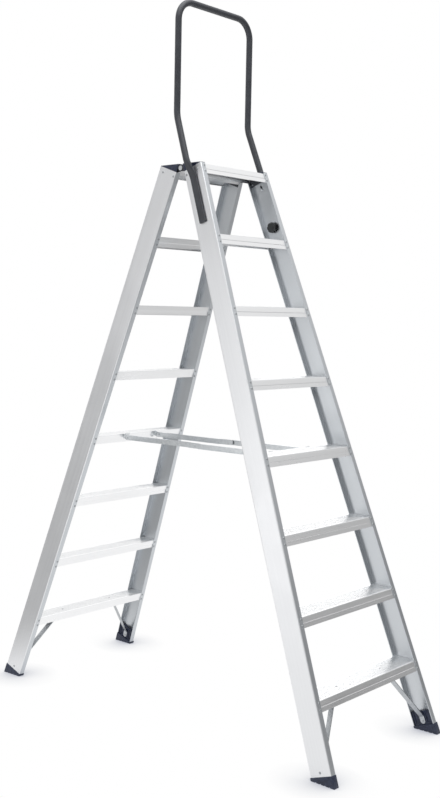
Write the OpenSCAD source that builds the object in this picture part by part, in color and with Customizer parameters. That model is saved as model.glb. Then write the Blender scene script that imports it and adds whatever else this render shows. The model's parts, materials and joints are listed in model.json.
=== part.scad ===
// Double-sided aluminium trestle ladder with a removable grab rail.
// Z is up, the floor is z = 0, X runs across the treads and the rail stands over the front (-Y) ladder.

/* [Ladder] */
// Height from one tread to the next
rise = 235; // [215:1:260]
// Lean of each ladder from the vertical, in degrees
lean = 19.9; // [16:0.1:23]
// Outside width over the stiles at the platform
top_width = 346; // [320:1:400]
// Outside width over the stiles at the floor
base_width = 604; // [540:1:680]
// Gap between the two ladders at platform level
top_gap = 18; // [16:0.5:24]

/* [Stiles] */
// Depth of the channel, across its web
stile_depth = 80; // [70:0.5:90]
// Width of the flanges, over the web
stile_flange = 20.4; // [19:0.1:26]
// Wall of the channel
stile_wall = 2.4; // [1.8:0.1:3]
// Outer corner radius of the channel
stile_round = 3.2; // [3.2:0.1:7]
// Height of the outer top corner above the platform
stile_corner_h = 4; // [2:0.1:6]
// Height of the inner bottom corner above the floor
stile_foot_h = 9; // [6:0.1:16]

/* [Treads] */
// Height of the outer lip
lip_h = 32; // [28:0.5:40]
// Height of the inner lip
back_lip_h = 31; // [28:0.5:40]
// Wall of the lips and the top plate
tread_wall = 2; // [1.6:0.1:3]
// Height of the grip ribs
rib_h = 1.2; // [0.8:0.1:2]
// Spacing of the grip ribs
rib_pitch = 5; // [4:0.1:8]
// Width of a grip rib at its crest
rib_crest = 2; // [1.2:0.1:3]
// Radius of the nosing
nose_r = 3.5; // [2:0.1:4.5]
// Width of the edge turned under below the outer lip
turn_under = 7; // [4:0.1:12]
// Depth of the line along the outer lip
line_depth = 0.8; // [0.4:0.1:1.2]
// Distance of that line below the top
line_drop = 18; // [14:0.5:22]
// Set-back of the lower band of the inner lip
band_step = 0.8; // [0.4:0.1:1.4]
// Depth of the stiffening ribs under the top plate
keel_h = 9; // [5:0.5:16]

/* [Feet and caps] */
// How far a foot stands out round its stile
foot_lip = 1.6; // [0.8:0.1:3]
// Height of the foot's plug inside the channel
plug_h = 45; // [40:1:90]
// Width of the plug from the web
plug_w = 15; // [12:0.1:18]
// Depth of the recesses moulded in the plug
plug_recess = 4; // [2:0.1:6]
// Depth of the grooves in the sole
sole_groove = 2; // [1:0.1:3]
// Width of the grooves in the sole
sole_groove_w = 3.5; // [2:0.1:5]
// Height of the cap above the platform
cap_h = 4.6; // [4.2:0.1:9]
// Wall of the cap
cap_wall = 1.3; // [1:0.05:1.6]
// Thickness of the cap's lid
cap_lid = 3.6; // [2.5:0.1:4.2]

/* [Braces] */
// Width of the brace strap
brace_w = 18; // [14:0.5:24]
// Thickness of the brace strap
brace_t = 3; // [2:0.1:4]
// Distance of the strap's upper bend from the middle of the tread
brace_reach = 135; // [120:1:190]
// Length of the strap's tab under the tread
brace_tab = 24; // [20:0.5:34]
// Height of the eye's lower rim above the foot's top edge
brace_eye_h = 3; // [2:0.5:14]
// Length of the strap's straight end above the eye
brace_end = 16; // [12:0.5:24]

/* [Hinge] */
// Distance of the hinge axis below the platform
hinge_drop = 10; // [9:0.1:13]
// Radius of the hinge bolt
hinge_r = 5; // [4:0.1:6]
// Radius of the bracket's eye
hinge_eye_r = 10.5; // [9:0.1:11]
// Thickness of the bracket's plates
bracket_t = 4; // [3:0.1:4.2]
// Length of the bracket's plate down the stile
bracket_len = 21.5; // [20:0.5:40]
// Width of the bracket's plate across the stile
bracket_w = 61.5; // [58:0.5:66]

/* [Spreader] */
// Distance of each spreader arm from the middle
arm_x = 85; // [60:1:120]
// Distance of the arm's pivots below their tread's top
arm_drop = 13; // [11:0.1:16]
// Height of a link
link_h = 18; // [16:0.1:20]
// Wall of a link
link_wall = 2; // [1.5:0.1:3]
// Width of a link's edge flanges, over the web
link_flange = 8; // [5:0.1:12]
// Gap between the two lapped links
link_gap = 3.4; // [3.2:0.1:5]
// Length of a link past the middle rivet
link_tail = 24; // [16:0.5:32]
// Plain length of a link at its pivot
link_plain = 26; // [22:0.5:40]
// Thickness of the spreader brackets
ear_t = 2.5; // [2:0.1:3]
// Width of a spreader bracket's foot
ear_w = 22; // [18:0.5:28]
// Height of a spreader bracket
ear_h = 20; // [18:0.5:22]

/* [Grab rail] */
// Diameter of the rail tube
rail_d = 22; // [18:0.5:26]
// Wall of the rail tube
rail_wall = 2; // [1.5:0.1:3]
// Height of the rail's top bar above the platform
rail_h = 542; // [450:1:700]
// Height of the leg's bend above the platform
rail_bend_h = 143; // [120:1:220]
// Forward lean of the rail above its bend, in degrees
rail_lean = 0.3; // [0:0.1:6]
// Radius of the leg's bend
rail_bend_r = 110; // [60:1:160]
// Radius of the rail's top corners
rail_corner_r = 65; // [40:1:90]
// Distance of the legs from the stile's inner edge
rail_n = 38.5; // [34:0.5:42]
// Distance of the legs' axis from the stile's web
rail_out = 21; // [18:0.5:26]
// Width of a flattened leg
strip_w = 29; // [27:0.5:33]
// Thickness of a flattened leg
strip_t = 6; // [4:0.1:8]
// Distance of the leg's lower end below the platform
strip_drop = 198; // [194:1:240]
// Distance of the threaded stud below the platform
bolt_drop = 188; // [168:1:194]
// Distance of the plain stud below the platform
stud_drop = 53; // [50:1:70]
// Travel of the rail's studs in the slots of the webs
rail_lift = 12; // [9:0.5:13]

/* [Knobs] */
// Diameter over the knob's lobes
knob_d = 38; // [34:0.5:46]
// Height of the knob
knob_h = 14.5; // [12:0.5:24]
// Number of lobes
knob_lobes = 7; // [5:1:9]

/* [Fasteners] */
// Radius of the rivets
rivet_r = 2.4; // [2:0.1:3]
// Radius of the rivet heads
rivet_head_r = 4.2; // [3.6:0.1:5]
// Height of the rivet heads
rivet_head_h = 1.2; // [0.8:0.1:1.6]
// Spacing of a tread end's two rivets
rivet_pitch = 20; // [16:0.5:22]
// Radius of the rail's studs
bolt_r = 4; // [3:0.1:5]
// Radius of the spreader's pivot pins
pin_r = 3.5; // [3:0.1:4.5]

/* [Hidden] */
$fn = 48;
// Cuts run past the faces that they open by this much
over = 1;
// Running gap between flat faces that move past each other
gap = 0.3;
// Radial clearance of a pin in its bore
running = 0.05;

tread_count = 8;
arm_tread = 4;
plat_h = rise * tread_count;
half_top = top_width / 2;
half_gap = top_gap / 2;
// Widening of half the ladder per unit of length along its slope
splay_rate = (base_width - top_width) / 2 / plat_h * cos(lean);
splay = atan(splay_rate);

// Places in a leaned ladder: n runs outward from its inner face, v up the slope from the platform level
function slope_v(drop, n) = (-drop - n * sin(lean)) / cos(lean);
function web_x(v) = half_top - splay_rate * v;
// Distance along a splayed stile that reaches height v
function along(v) = v / cos(splay);

stile_top = slope_v(-stile_corner_h, stile_depth);
stile_bottom = slope_v(plat_h - stile_foot_h, 0);
stile_inner = stile_depth - 2 * stile_wall;
stile_mid = stile_depth / 2;
long_reach = plat_h / 2;
// The treads end where the web's inner fillets begin, and are trimmed there up to this height
web_cut = stile_round / cos(splay);
trim_top = stile_top + stile_depth;

// A tread's depth on the level, between the flanges
tread_depth = stile_inner / cos(lean);
tread_plate = tread_wall + rib_h;
rib_base_share = 1.5;
nose_steps = 5;
rib_count = floor((tread_depth - 2 * nose_r - rib_pitch) / rib_pitch);
groove_start = (tread_depth - rib_count * rib_pitch) / 2;
keel_shares = [0.74, 0.26];

// Places of the tread rivets: inset from the flange's edge, and centred on each lip
rivet_inset = 6;
rivet_grip = stile_wall + tread_wall;
top_rivet_inset = 5;
rivet_tail_share = 0.8;
dimple_share = 0.32;
dimple_depth_share = 0.3;
crown_share = 0.72;

// Places of the sole's grooves and of the plug's recesses
sole_groove_shares = [0.2, 0.4, 0.6, 0.8];
plug_recess_shares = [0.2, 0.8];
recess_w_share = 0.2;
recess_foot_share = 0.12;

// The hinge axis lies on the middle plane; seen from a ladder it is this far inside its inner face
hinge_in = (half_gap + hinge_drop * tan(lean)) * cos(lean);
hinge_v = slope_v(hinge_drop, -hinge_in);
tongue_inset = 1;
tongue_x = web_x(stile_top) - stile_wall - tongue_inset;
rear_tongue_x = tongue_x - bracket_t - gap;
tread_end_x = rear_tongue_x - bracket_t - gap;
tongue_reach = 34;
tongue_root = 12;
tongue_back = 6;
bracket_edge = stile_round;
hinge_head_r = 8;
hinge_head_h = 3;
bracket_rivet_inset = 5;

// Spreader pivots lie on the line through the hinge axis that is parallel to each ladder
arm_z = plat_h - arm_tread * rise - arm_drop;
arm_len = (plat_h - hinge_drop - arm_z) * tan(lean);
link_out = arm_x + link_gap / 2;
ear_x = link_out + link_wall + gap;
ear_drop = arm_tread * rise + arm_drop;
ear_rivet_pitch = 11;
ear_rivet_share = 0.66;
ear_rivet_x = ear_x + ear_w * ear_rivet_share;
pin_head_r = 5;
pin_head_h = 1.3;

// The grab rail's legs, seen from the stile that they lie along
rail_r = rail_d / 2;
strip_gap = gap;
flat_drop = 46;
flat_rise = 10;
// Lengths along the rail are taken to this step, so that its parts meet exactly
rail_step = 0.01;
function to_step(x) = round(x / rail_step) * rail_step;
flat_v = to_step(along(slope_v(flat_drop, rail_n)));
round_v = to_step(along(slope_v(-flat_rise, rail_n)));
bend_v = to_step(along(slope_v(-rail_bend_h, rail_n)));
strip_end = along(slope_v(strip_drop, rail_n));
bolt_v = along(slope_v(bolt_drop, rail_n));
stud_v = along(slope_v(stud_drop, rail_n));
// The bend turns the leg to the direction of the upper part
rail_turn = lean + rail_lean;
upper_dir = [cos(rail_turn) * sin(splay), sin(rail_turn), cos(rail_turn) * cos(splay)];
bend_turn = acos(upper_dir[2]);
bend_way = atan2(upper_dir[1], upper_dir[0]);
bend_in = rail_bend_r * (1 - cos(bend_turn));
bend_x = rail_out + bend_in * cos(bend_way);
bend_top = bend_v + rail_bend_r * sin(bend_turn);
// The upper part, seen from the leaned ladder
upper_x = to_step(half_top + bend_x * cos(splay) - bend_top * sin(splay));
upper_n = to_step(rail_n + bend_in * sin(bend_way));
upper_v = to_step(bend_x * sin(splay) + bend_top * cos(splay));
upper_h = upper_n * sin(lean) + upper_v * cos(lean);
rail_upper = to_step((rail_h - upper_h) / cos(rail_lean) - rail_corner_r);
// The flattened leg and the tube's end overlap the taper between them by this much
taper_seat = 3;
// The bends are slimmer than the legs by this much, and run a little way into them
rail_neck = 0.05;
bend_lap = atan(over / rail_bend_r);
// The webs draw in under the rail as it is lifted, so the knobs stand off by this much
knob_gap = rail_lift * splay_rate + gap;
slot_r = bolt_r + gap;
stud_seat = strip_t / 2;
stud_tail_h = 5;
stud_chamfer = 1.5;
knob_hub_r = 10;
knob_hub_h = 4;
knob_lobe_share = 0.24;
knob_crown = 3;
bolt_end_in = 4;

// The brace's eye, seen from the stile
eye_r = brace_w / 2;
eye_x = -plug_w - brace_t / 2;
eye_v = along(stile_bottom) + brace_eye_h + eye_r;
end_v = eye_v + brace_end;
brace_top_drop = (tread_count - 1) * rise + tread_plate + brace_t / 2;

aluminium = "gainsboro";
steel = "silver";
navy = [0.18, 0.21, 0.31];
coat_grey = [0.29, 0.29, 0.31];
black = [0.16, 0.17, 0.18];

treads = [for (k = [1 : tread_count - 1]) k];
sides = ["front", "rear"];
hands = ["left", "right"];
pieces = ["stile", "foot", "cap", "brace", "hinge_bracket"];
groups = ["top_tread", "tread_rivets", "brace_rivets", "bracket_rivets",
    "spreader_brackets", "spreader_pins"];

// Placing: one ladder is drawn leaning as the rear one and mirrored for the front
module ladder(side) {
    if (side == "front") mirror([0, 1, 0]) children();
    else children();
}
module leaned() { translate([0, half_gap, plat_h]) rotate([lean, 0, 0]) children(); }
module handed(hand) {
    if (hand == "left") mirror([1, 0, 0]) children();
    else children();
}
// X outward from the web's outer face, Y across the depth, Z up along the splayed stile
module on_stile() { translate([half_top, 0, 0]) rotate([0, -splay, 0]) children(); }
module both() { for (h = hands) handed(h) children(); }

// A rivet along Z with its head above z = 0 and its formed tail below the grip
module rivet(grip) {
    tail_r = rivet_head_r * rivet_tail_share;
    dimple_r = rivet_head_r * dimple_share;
    dimple_z = rivet_head_h * (1 - dimple_depth_share);
    rotate_extrude() polygon([
        [0, -grip - rivet_head_h], [tail_r, -grip - rivet_head_h], [tail_r, -grip], [rivet_r, -grip],
        [rivet_r, 0], [rivet_head_r, 0], [rivet_head_r * crown_share, rivet_head_h],
        [dimple_r, rivet_head_h], [dimple_r, dimple_z], [0, dimple_z]]);
}

// Stiles
module channel_outline(inset) {
    r = stile_round - inset;
    x_in = -stile_flange - (inset > 0 ? over : 0);
    translate([x_in, inset]) square([-x_in - stile_round, stile_depth - 2 * inset]);
    translate([-stile_round - over, stile_round])
        square([stile_round + over - inset, stile_depth - 2 * stile_round]);
    for (y = [stile_round, stile_depth - stile_round]) translate([-stile_round, y]) circle(r);
}
// The slot along a stile in which one of the rail's studs lies, at its lower end
module rail_slot() {
    for (z = [0, rail_lift]) translate([0, 0, z]) rotate([0, 90, 0])
        cylinder(h = stile_flange, r = slot_r, center = true);
    translate([-stile_flange / 2, -slot_r, 0]) cube([stile_flange, 2 * slot_r, rail_lift]);
}
module stile(side, hand) {
    color(aluminium) ladder(side) leaned() handed(hand) difference() {
        on_stile() translate([0, 0, along(stile_bottom)])
            linear_extrude(along(stile_top - stile_bottom)) difference() {
                channel_outline(0);
                channel_outline(stile_wall);
            }
        for (k = [0 : tread_count - 1]) tread_rivet_places(k)
            cylinder(h = stile_mid, r = rivet_r, center = true);
        on_stile() {
            translate([0, stile_mid, eye_v]) rotate([0, 90, 0])
                cylinder(h = stile_flange, r = rivet_r, center = true);
            bracket_rivet_places() cylinder(h = stile_flange, r = rivet_r, center = true);
            if (side == "front") for (v = [bolt_v, stud_v]) translate([0, rail_n, v]) rail_slot();
        }
    }
}

// Treads: an open channel with slanted lips that lie against the stile flanges
function nose_points() = let (c = [tread_depth - nose_r * tan(45 - lean / 2), -nose_r])
    [for (i = [0 : nose_steps]) let (a = 90 - i * (90 - lean) / nose_steps)
        [c[0] + nose_r * cos(a), c[1] + nose_r * sin(a)]];
// A point on a lip: depth below the top, and distance in from the lip's outer face
function outer_lip(drop, inset) = [tread_depth + drop * tan(lean) - inset / cos(lean), -drop];
function inner_lip(drop, inset) = [drop * tan(lean) + inset / cos(lean), -drop];
function keel_points() = [for (k = keel_shares) for (c = [[1, 0], [1, 1], [-1, 1], [-1, 0]])
    [tread_depth * k + c[0] * tread_wall / 2, -tread_plate - c[1] * keel_h]];
module tread_profile() {
    difference() {
        polygon(concat(
            [inner_lip(0, 0)], nose_points(),
            [outer_lip(line_drop - line_depth, 0), outer_lip(line_drop, line_depth),
                outer_lip(line_drop + line_depth, 0), outer_lip(lip_h, 0),
                [outer_lip(lip_h, 0)[0] - turn_under, -lip_h],
                [outer_lip(lip_h, 0)[0] - turn_under, -lip_h + tread_wall],
                outer_lip(lip_h - tread_wall, tread_wall), outer_lip(tread_plate, tread_wall)],
            keel_points(),
            [inner_lip(tread_plate, tread_wall), inner_lip(back_lip_h, tread_wall),
                inner_lip(back_lip_h, band_step), inner_lip(line_drop + band_step, band_step),
                inner_lip(line_drop, 0)]));
        for (i = [0 : rib_count]) translate([groove_start + i * rib_pitch, 0]) rib_groove();
    }
}
module rib_groove() {
    floor_w = rib_pitch - rib_crest * rib_base_share;
    mouth_w = rib_pitch - rib_crest;
    polygon([[-floor_w / 2, -rib_h], [floor_w / 2, -rib_h], [mouth_w / 2, 0], [mouth_w / 2, over],
        [-mouth_w / 2, over], [-mouth_w / 2, 0]]);
}
// The space between the webs and their fillets, which trims a tread's ends to the splay
module between_webs() {
    leaned() translate([0, stile_depth + over, 0]) rotate([90, 0, 0])
        linear_extrude(stile_depth + 2 * over) polygon([
            for (v = [trim_top, stile_bottom]) [web_x(v) - web_cut, v],
            for (v = [stile_bottom, trim_top]) [web_cut - web_x(v), v]]);
}
// Rivets of one tread end: two through each flange, pointing outward from the lip
module tread_rivet_places(k) {
    for (outer = [false, true]) {
        n = outer ? stile_depth : 0;
        tail_n = outer ? stile_depth - rivet_grip : rivet_grip;
        foot = outer ? lip_h - tread_wall : back_lip_h;
        v = slope_v(k * rise + (tread_plate + foot) / 2, tail_n);
        inset = k == 0 ? top_rivet_inset : rivet_inset;
        if (outer || k > 0) for (i = [-1, 1]) let (p = v + i * rivet_pitch / 2)
            translate([web_x(p) - stile_flange + inset, n, p]) rotate([outer ? -90 : 90, 0, 0]) children();
    }
}
module tread(side, k) {
    half_l = web_x(stile_bottom);
    color(aluminium) ladder(side) difference() {
        intersection() {
            translate([-half_l, half_gap + k * rise * tan(lean) + stile_wall / cos(lean), plat_h - k * rise])
                rotate([90, 0, 90]) linear_extrude(2 * half_l) tread_profile();
            if (k > 0) between_webs();
            else translate([-tread_end_x, 0, 0]) cube([2 * tread_end_x, plat_h, plat_h + over]);
        }
        leaned() both() tread_rivet_places(k) cylinder(h = stile_mid, r = rivet_r, center = true);
        if (k == tread_count - 1) for (h = hands) brace_tab_place(h) {
            cylinder(h = stile_mid, r = rivet_r, center = true);
            translate([0, 0, tread_plate - rib_h]) cylinder(h = stile_mid, r = rivet_head_r + gap);
        }
        if (k == arm_tread) ear_rivet_places(side) cylinder(h = stile_mid, r = rivet_r, center = true);
    }
}
module tread_rivets(side) {
    color(steel) ladder(side) leaned() both() for (k = [0 : tread_count - 1])
        tread_rivet_places(k) rivet(rivet_grip);
}

// Feet: a wedge from the square-cut stile down to the floor, with a plug up inside the channel
module above_floor() {
    translate([-long_reach, -long_reach, 0]) cube([2 * long_reach, 2 * long_reach, plat_h]);
}
module foot(side, hand) {
    sole_len = stile_foot_h + stile_depth;
    color(navy) ladder(side) difference() {
        union() {
            intersection() {
                leaned() handed(hand) on_stile()
                    translate([-stile_flange - foot_lip, -foot_lip, along(stile_bottom) - sole_len])
                        cube([stile_flange + 2 * foot_lip, stile_depth + 2 * foot_lip, sole_len]);
                above_floor();
            }
            leaned() handed(hand) on_stile() foot_plug();
        }
        leaned() handed(hand) on_stile() translate([0, stile_mid, eye_v]) rotate([0, 90, 0])
            cylinder(h = 2 * stile_flange, r = rivet_r, center = true);
        for (i = sole_groove_shares) sole_cut(hand, i);
    }
}
module foot_plug() {
    translate([0, 0, along(stile_bottom)]) difference() {
        linear_extrude(plug_h) intersection() {
            channel_outline(stile_wall + running);
            translate([-plug_w, 0]) square([plug_w, stile_depth]);
        }
        for (i = plug_recess_shares) translate([-plug_w - over,
            stile_wall + stile_inner * (i - recess_w_share / 2), plug_h * recess_foot_share])
                cube([plug_recess + over, stile_inner * recess_w_share, plug_h]);
    }
}
module sole_cut(hand, place) {
    y = half_gap + plat_h * tan(lean) + stile_depth / cos(lean) * place;
    x = web_x(slope_v(plat_h, 0)) - stile_flange * 2;
    handed(hand) translate([x, y - sole_groove_w / 2, -over])
        cube([stile_flange * 4, sole_groove_w, sole_groove + over]);
}

// Caps: hollow wedges that level the stile tops
module below_level(z) {
    translate([-long_reach, -long_reach, plat_h + z - long_reach])
        cube([2 * long_reach, 2 * long_reach, long_reach]);
}
module cap(side, hand) {
    cap_len = stile_depth + cap_h;
    color(navy) ladder(side) difference() {
        intersection() {
            leaned() handed(hand) on_stile() translate([0, 0, along(stile_top)])
                linear_extrude(cap_len) channel_outline(0);
            below_level(cap_h);
        }
        intersection() {
            leaned() handed(hand) on_stile() translate([-stile_flange - over, -over, along(stile_top) - over])
                cube([stile_flange + over - cap_wall, stile_depth + over - cap_wall, cap_len + 2 * over]);
            below_level(cap_h - cap_lid);
        }
    }
}

// Braces: bent straps from the lowest tread to the feet, square to the web at the eye
function to_stile(x, v) = let (d = x - half_top)
    [d * cos(splay) + v * sin(splay), v * cos(splay) - d * sin(splay)];
function unit(v) = v / norm(v);
function left_of(v) = [-v[1], v[0]];
module brace_tab_place(hand) {
    y = half_gap + (tread_count - 1) * rise * tan(lean) + stile_mid / cos(lean);
    handed(hand) translate([brace_reach - brace_tab / 2, y, plat_h - (tread_count - 1) * rise - tread_plate])
        children();
}
// The strap seen edge on: up from the eye, then mitred towards the tread
module brace_outline() {
    eye = [eye_x, eye_v];
    bend = [eye_x, end_v];
    top = to_stile(brace_reach, slope_v(brace_top_drop, stile_mid));
    end_n = left_of(unit(bend - eye));
    leg_n = left_of(unit(top - bend));
    mitre = (end_n + leg_n) / (1 + end_n * leg_n);
    half = brace_t / 2;
    polygon([eye + half * end_n, bend + half * mitre, top + half * leg_n,
        top - half * leg_n, bend - half * mitre, eye - half * end_n]);
}
module brace(side, hand) {
    color(steel) ladder(side) difference() {
        union() {
            difference() {
                leaned() handed(hand) on_stile() {
                    translate([0, stile_mid + brace_w / 2, 0]) rotate([90, 0, 0])
                        linear_extrude(brace_w) brace_outline();
                    translate([eye_x - brace_t / 2, stile_mid, eye_v]) rotate([0, 90, 0])
                        cylinder(h = brace_t, r = eye_r);
                }
                brace_tab_place(hand) translate([-brace_reach, -brace_w, -brace_t / 2])
                    cube([2 * brace_reach, 2 * brace_w, brace_w]);
            }
            brace_tab_place(hand) translate([-brace_tab / 2, -brace_w / 2, -brace_t])
                cube([brace_tab, brace_w, brace_t]);
        }
        leaned() handed(hand) on_stile() translate([0, stile_mid, eye_v]) rotate([0, 90, 0])
            cylinder(h = 2 * stile_flange, r = rivet_r, center = true);
        brace_tab_place(hand) cylinder(h = stile_mid, r = rivet_r, center = true);
    }
}
module brace_rivets(side) {
    color(steel) ladder(side) {
        leaned() both() on_stile() translate([0, stile_mid, eye_v]) rotate([0, 90, 0])
            rivet(plug_w + brace_t);
        for (h = hands) brace_tab_place(h) translate([0, 0, tread_plate - rib_h])
            rivet(tread_plate - rib_h + brace_t);
    }
}

// Hinge brackets: a plate on the web and a tongue that carries the eye over the flange's end
module bracket_rivet_places() {
    v = along(stile_top) - bracket_len + bracket_rivet_inset;
    for (n = [bracket_rivet_inset, bracket_w - bracket_rivet_inset])
        translate([0, bracket_edge + n, v]) rotate([0, 90, 0]) children();
}
module tongue_outline() {
    difference() {
        union() {
            translate([-hinge_in, hinge_v]) circle(hinge_eye_r);
            polygon([[-hinge_in, hinge_v + hinge_eye_r],
                [tongue_reach / 2, slope_v(hinge_drop / 2, tongue_reach / 2)],
                [tongue_reach, slope_v(hinge_drop, tongue_reach)], [tongue_reach, stile_top - tongue_root],
                [tongue_back, stile_top - tongue_root], [stile_wall + gap, stile_top + gap],
                [-hinge_in, hinge_v - hinge_eye_r]]);
        }
        translate([-hinge_in, hinge_v]) circle(hinge_r + running);
    }
}
module hinge_bracket(side, hand) {
    x = side == "front" ? tongue_x : rear_tongue_x;
    color(coat_grey) ladder(side) leaned() handed(hand) difference() {
        union() {
            on_stile() translate([-stile_wall - bracket_t, bracket_edge, along(stile_top) - bracket_len])
                cube([bracket_t, bracket_w, bracket_len]);
            translate([x - bracket_t, 0, 0]) rotate([90, 0, 90]) linear_extrude(bracket_t) tongue_outline();
            if (side == "rear") translate([x - bracket_t, tongue_back, stile_top - tongue_root])
                cube([tongue_x - x + bracket_t, tongue_reach - tongue_back, tongue_root]);
        }
        on_stile() bracket_rivet_places() cylinder(h = 2 * stile_flange, r = rivet_r, center = true);
    }
}
module bracket_rivets(side) {
    color(steel) ladder(side) leaned() both() on_stile()
        bracket_rivet_places() rivet(stile_wall + bracket_t);
}
module hinge_bolts() {
    grip = 2 * bracket_t + gap;
    x = rear_tongue_x - bracket_t;
    color(steel) both() translate([x, 0, plat_h - hinge_drop]) rotate([0, 90, 0]) {
        cylinder(h = grip, r = hinge_r);
        translate([0, 0, -hinge_head_h]) cylinder(h = hinge_head_h, r = hinge_head_r);
        translate([0, 0, grip]) cylinder(h = hinge_head_h, r = hinge_head_r);
    }
}

// Spreader: two links a side, lapped at the middle plane, on brackets under the inner lips
module arm_side(side) {
    if (side == "front") children();
    else translate([2 * arm_x, 0, 0]) mirror([1, 0, 0]) children();
}
module ear_rivet_places(side) {
    both() arm_side(side) leaned() for (i = [-1, 1])
        translate([ear_rivet_x, stile_wall, slope_v(ear_drop, stile_wall) + i * ear_rivet_pitch / 2])
            rotate([90, 0, 0]) children();
}
module spreader_brackets(side) {
    color(steel) ladder(side) both() arm_side(side) leaned() difference() {
        v = slope_v(ear_drop, -hinge_in);
        union() {
            translate([ear_x, stile_wall - ear_t, v - ear_h / 2]) cube([ear_w, ear_t, ear_h]);
            translate([ear_x, -hinge_in, v - link_h / 2]) cube([ear_t, hinge_in + stile_wall, link_h]);
            translate([ear_x, -hinge_in, v]) rotate([0, 90, 0]) cylinder(h = ear_t, r = link_h / 2);
        }
        translate([ear_x - over, -hinge_in, v]) rotate([0, 90, 0]) cylinder(h = ear_w, r = pin_r);
        for (i = [-1, 1])
            translate([ear_rivet_x, 0, slope_v(ear_drop, stile_wall) + i * ear_rivet_pitch / 2])
                rotate([90, 0, 0]) cylinder(h = stile_mid, r = rivet_r, center = true);
    }
}
module spreader_pins(side) {
    grip = link_wall + gap + ear_t;
    color(steel) ladder(side) {
        both() arm_side(side) translate([link_out, arm_len, arm_z]) rotate([0, 90, 0]) {
            cylinder(h = grip, r = pin_r);
            translate([0, 0, -pin_head_h]) cylinder(h = pin_head_h, r = pin_head_r);
            translate([0, 0, grip]) cylinder(h = pin_head_h, r = pin_head_r);
        }
        ear_rivet_places(side) translate([0, 0, ear_t]) rivet(ear_t + tread_wall);
    }
}
// A link lies along Y from its pivot to past the middle, flanged away from its mate
module link(side, hand) {
    color(steel) ladder(side) handed(hand) arm_side(side)
        translate([link_out, 0, arm_z]) difference() {
            union() {
                translate([0, -link_tail, -link_h / 2]) cube([link_wall, arm_len + link_tail, link_h]);
                for (y = [arm_len, -link_tail]) translate([0, y, 0]) rotate([0, 90, 0])
                    cylinder(h = link_wall, r = link_h / 2);
                for (z = [-link_h / 2, link_h / 2 - link_wall])
                    translate([0, link_plain, z]) cube([link_flange, arm_len - 2 * link_plain, link_wall]);
            }
            translate([-over, arm_len, 0]) rotate([0, 90, 0]) cylinder(h = link_flange, r = pin_r + running);
            translate([-over, 0, 0]) rotate([0, 90, 0]) cylinder(h = link_flange, r = pin_r);
        }
}
// The middle rivet is made in two halves, one in each link, because the linkage opens there
module link_rivet(side, hand) {
    color(steel) ladder(side) handed(hand) arm_side(side) translate([link_out, 0, arm_z]) rotate([0, 90, 0]) {
        cylinder(h = link_wall, r = pin_r);
        translate([0, 0, gap / 2 - link_gap / 2]) cylinder(h = link_gap / 2 - gap / 2, r = pin_head_r);
        translate([0, 0, link_wall]) cylinder(h = pin_head_h, r = pin_head_r);
    }
}

// Grab rail: a bent tube whose legs are flattened where they lie on the front stiles
module rail_tube(r, start) {
    bar_x = upper_x - rail_corner_r;
    for (s = [-1, 1]) translate([s * half_top, 0, 0]) rotate([0, -s * splay, 0])
        translate([s * rail_out, rail_n, bend_v]) {
            translate([0, 0, start - bend_v]) cylinder(h = bend_v - start, r = r);
            rotate(s > 0 ? bend_way : 180 - bend_way) translate([rail_bend_r, 0, 0]) rotate([90, 0, 180])
                rotate(-bend_lap) rotate_extrude(angle = bend_turn + 2 * bend_lap)
                    translate([rail_bend_r, 0]) circle(r - rail_neck);
        }
    // The upper part, with Z along its legs
    translate([0, upper_n, upper_v]) rotate([-rail_turn, 0, 0]) {
        for (s = [-1, 1]) translate([s * upper_x, 0, 0]) cylinder(h = rail_upper, r = r);
        for (i = [0, 1]) translate([bar_x * (1 - 2 * i), 0, rail_upper]) rotate([90, 0, 0])
            rotate(i * 90) rotate_extrude(angle = 90) translate([rail_corner_r, 0]) circle(r);
        translate([-bar_x, 0, rail_upper + rail_corner_r]) rotate([0, 90, 0]) cylinder(h = 2 * bar_x, r = r);
    }
}
module rail_strip() {
    translate([strip_gap, rail_n, 0]) difference() {
        translate([0, -strip_w / 2, strip_end]) cube([strip_t, strip_w, flat_v - strip_end]);
        for (v = [bolt_v, stud_v]) translate([-over, 0, v]) rotate([0, 90, 0])
            cylinder(h = stud_seat + over, r = bolt_r);
    }
}
module rail_taper() {
    hull() {
        translate([strip_gap + gap, rail_n - strip_w / 2 + gap, flat_v - taper_seat])
            cube([strip_t - 2 * gap, strip_w - 2 * gap, taper_seat / 2]);
        translate([rail_out, rail_n, round_v + taper_seat / 2])
            cylinder(h = taper_seat / 2, r = rail_r - gap, $fn = 32);
    }
}
module grab_rail() {
    color(coat_grey) ladder("front") leaned() {
        difference() {
            rail_tube(rail_r, round_v);
            rail_tube(rail_r - rail_wall, round_v + 2 * taper_seat);
        }
        both() on_stile() {
            rail_strip();
            rail_taper();
        }
    }
}
// The rail's studs, seated in its strips and passing through the slots of the webs
module rail_stud(v, inward) {
    ladder("front") leaned() both() on_stile() translate([-inward, rail_n, v]) rotate([0, 90, 0])
        rotate_extrude() polygon([[0, 0], [bolt_r - stud_chamfer, 0], [bolt_r, stud_chamfer],
            [bolt_r, inward + strip_gap + stud_seat], [0, inward + strip_gap + stud_seat]]);
}
module rail_bolts() { color(steel) rail_stud(bolt_v, stile_wall + knob_gap + knob_h - bolt_end_in); }
module rail_studs() { color(steel) rail_stud(stud_v, stile_wall + stud_tail_h); }

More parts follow.
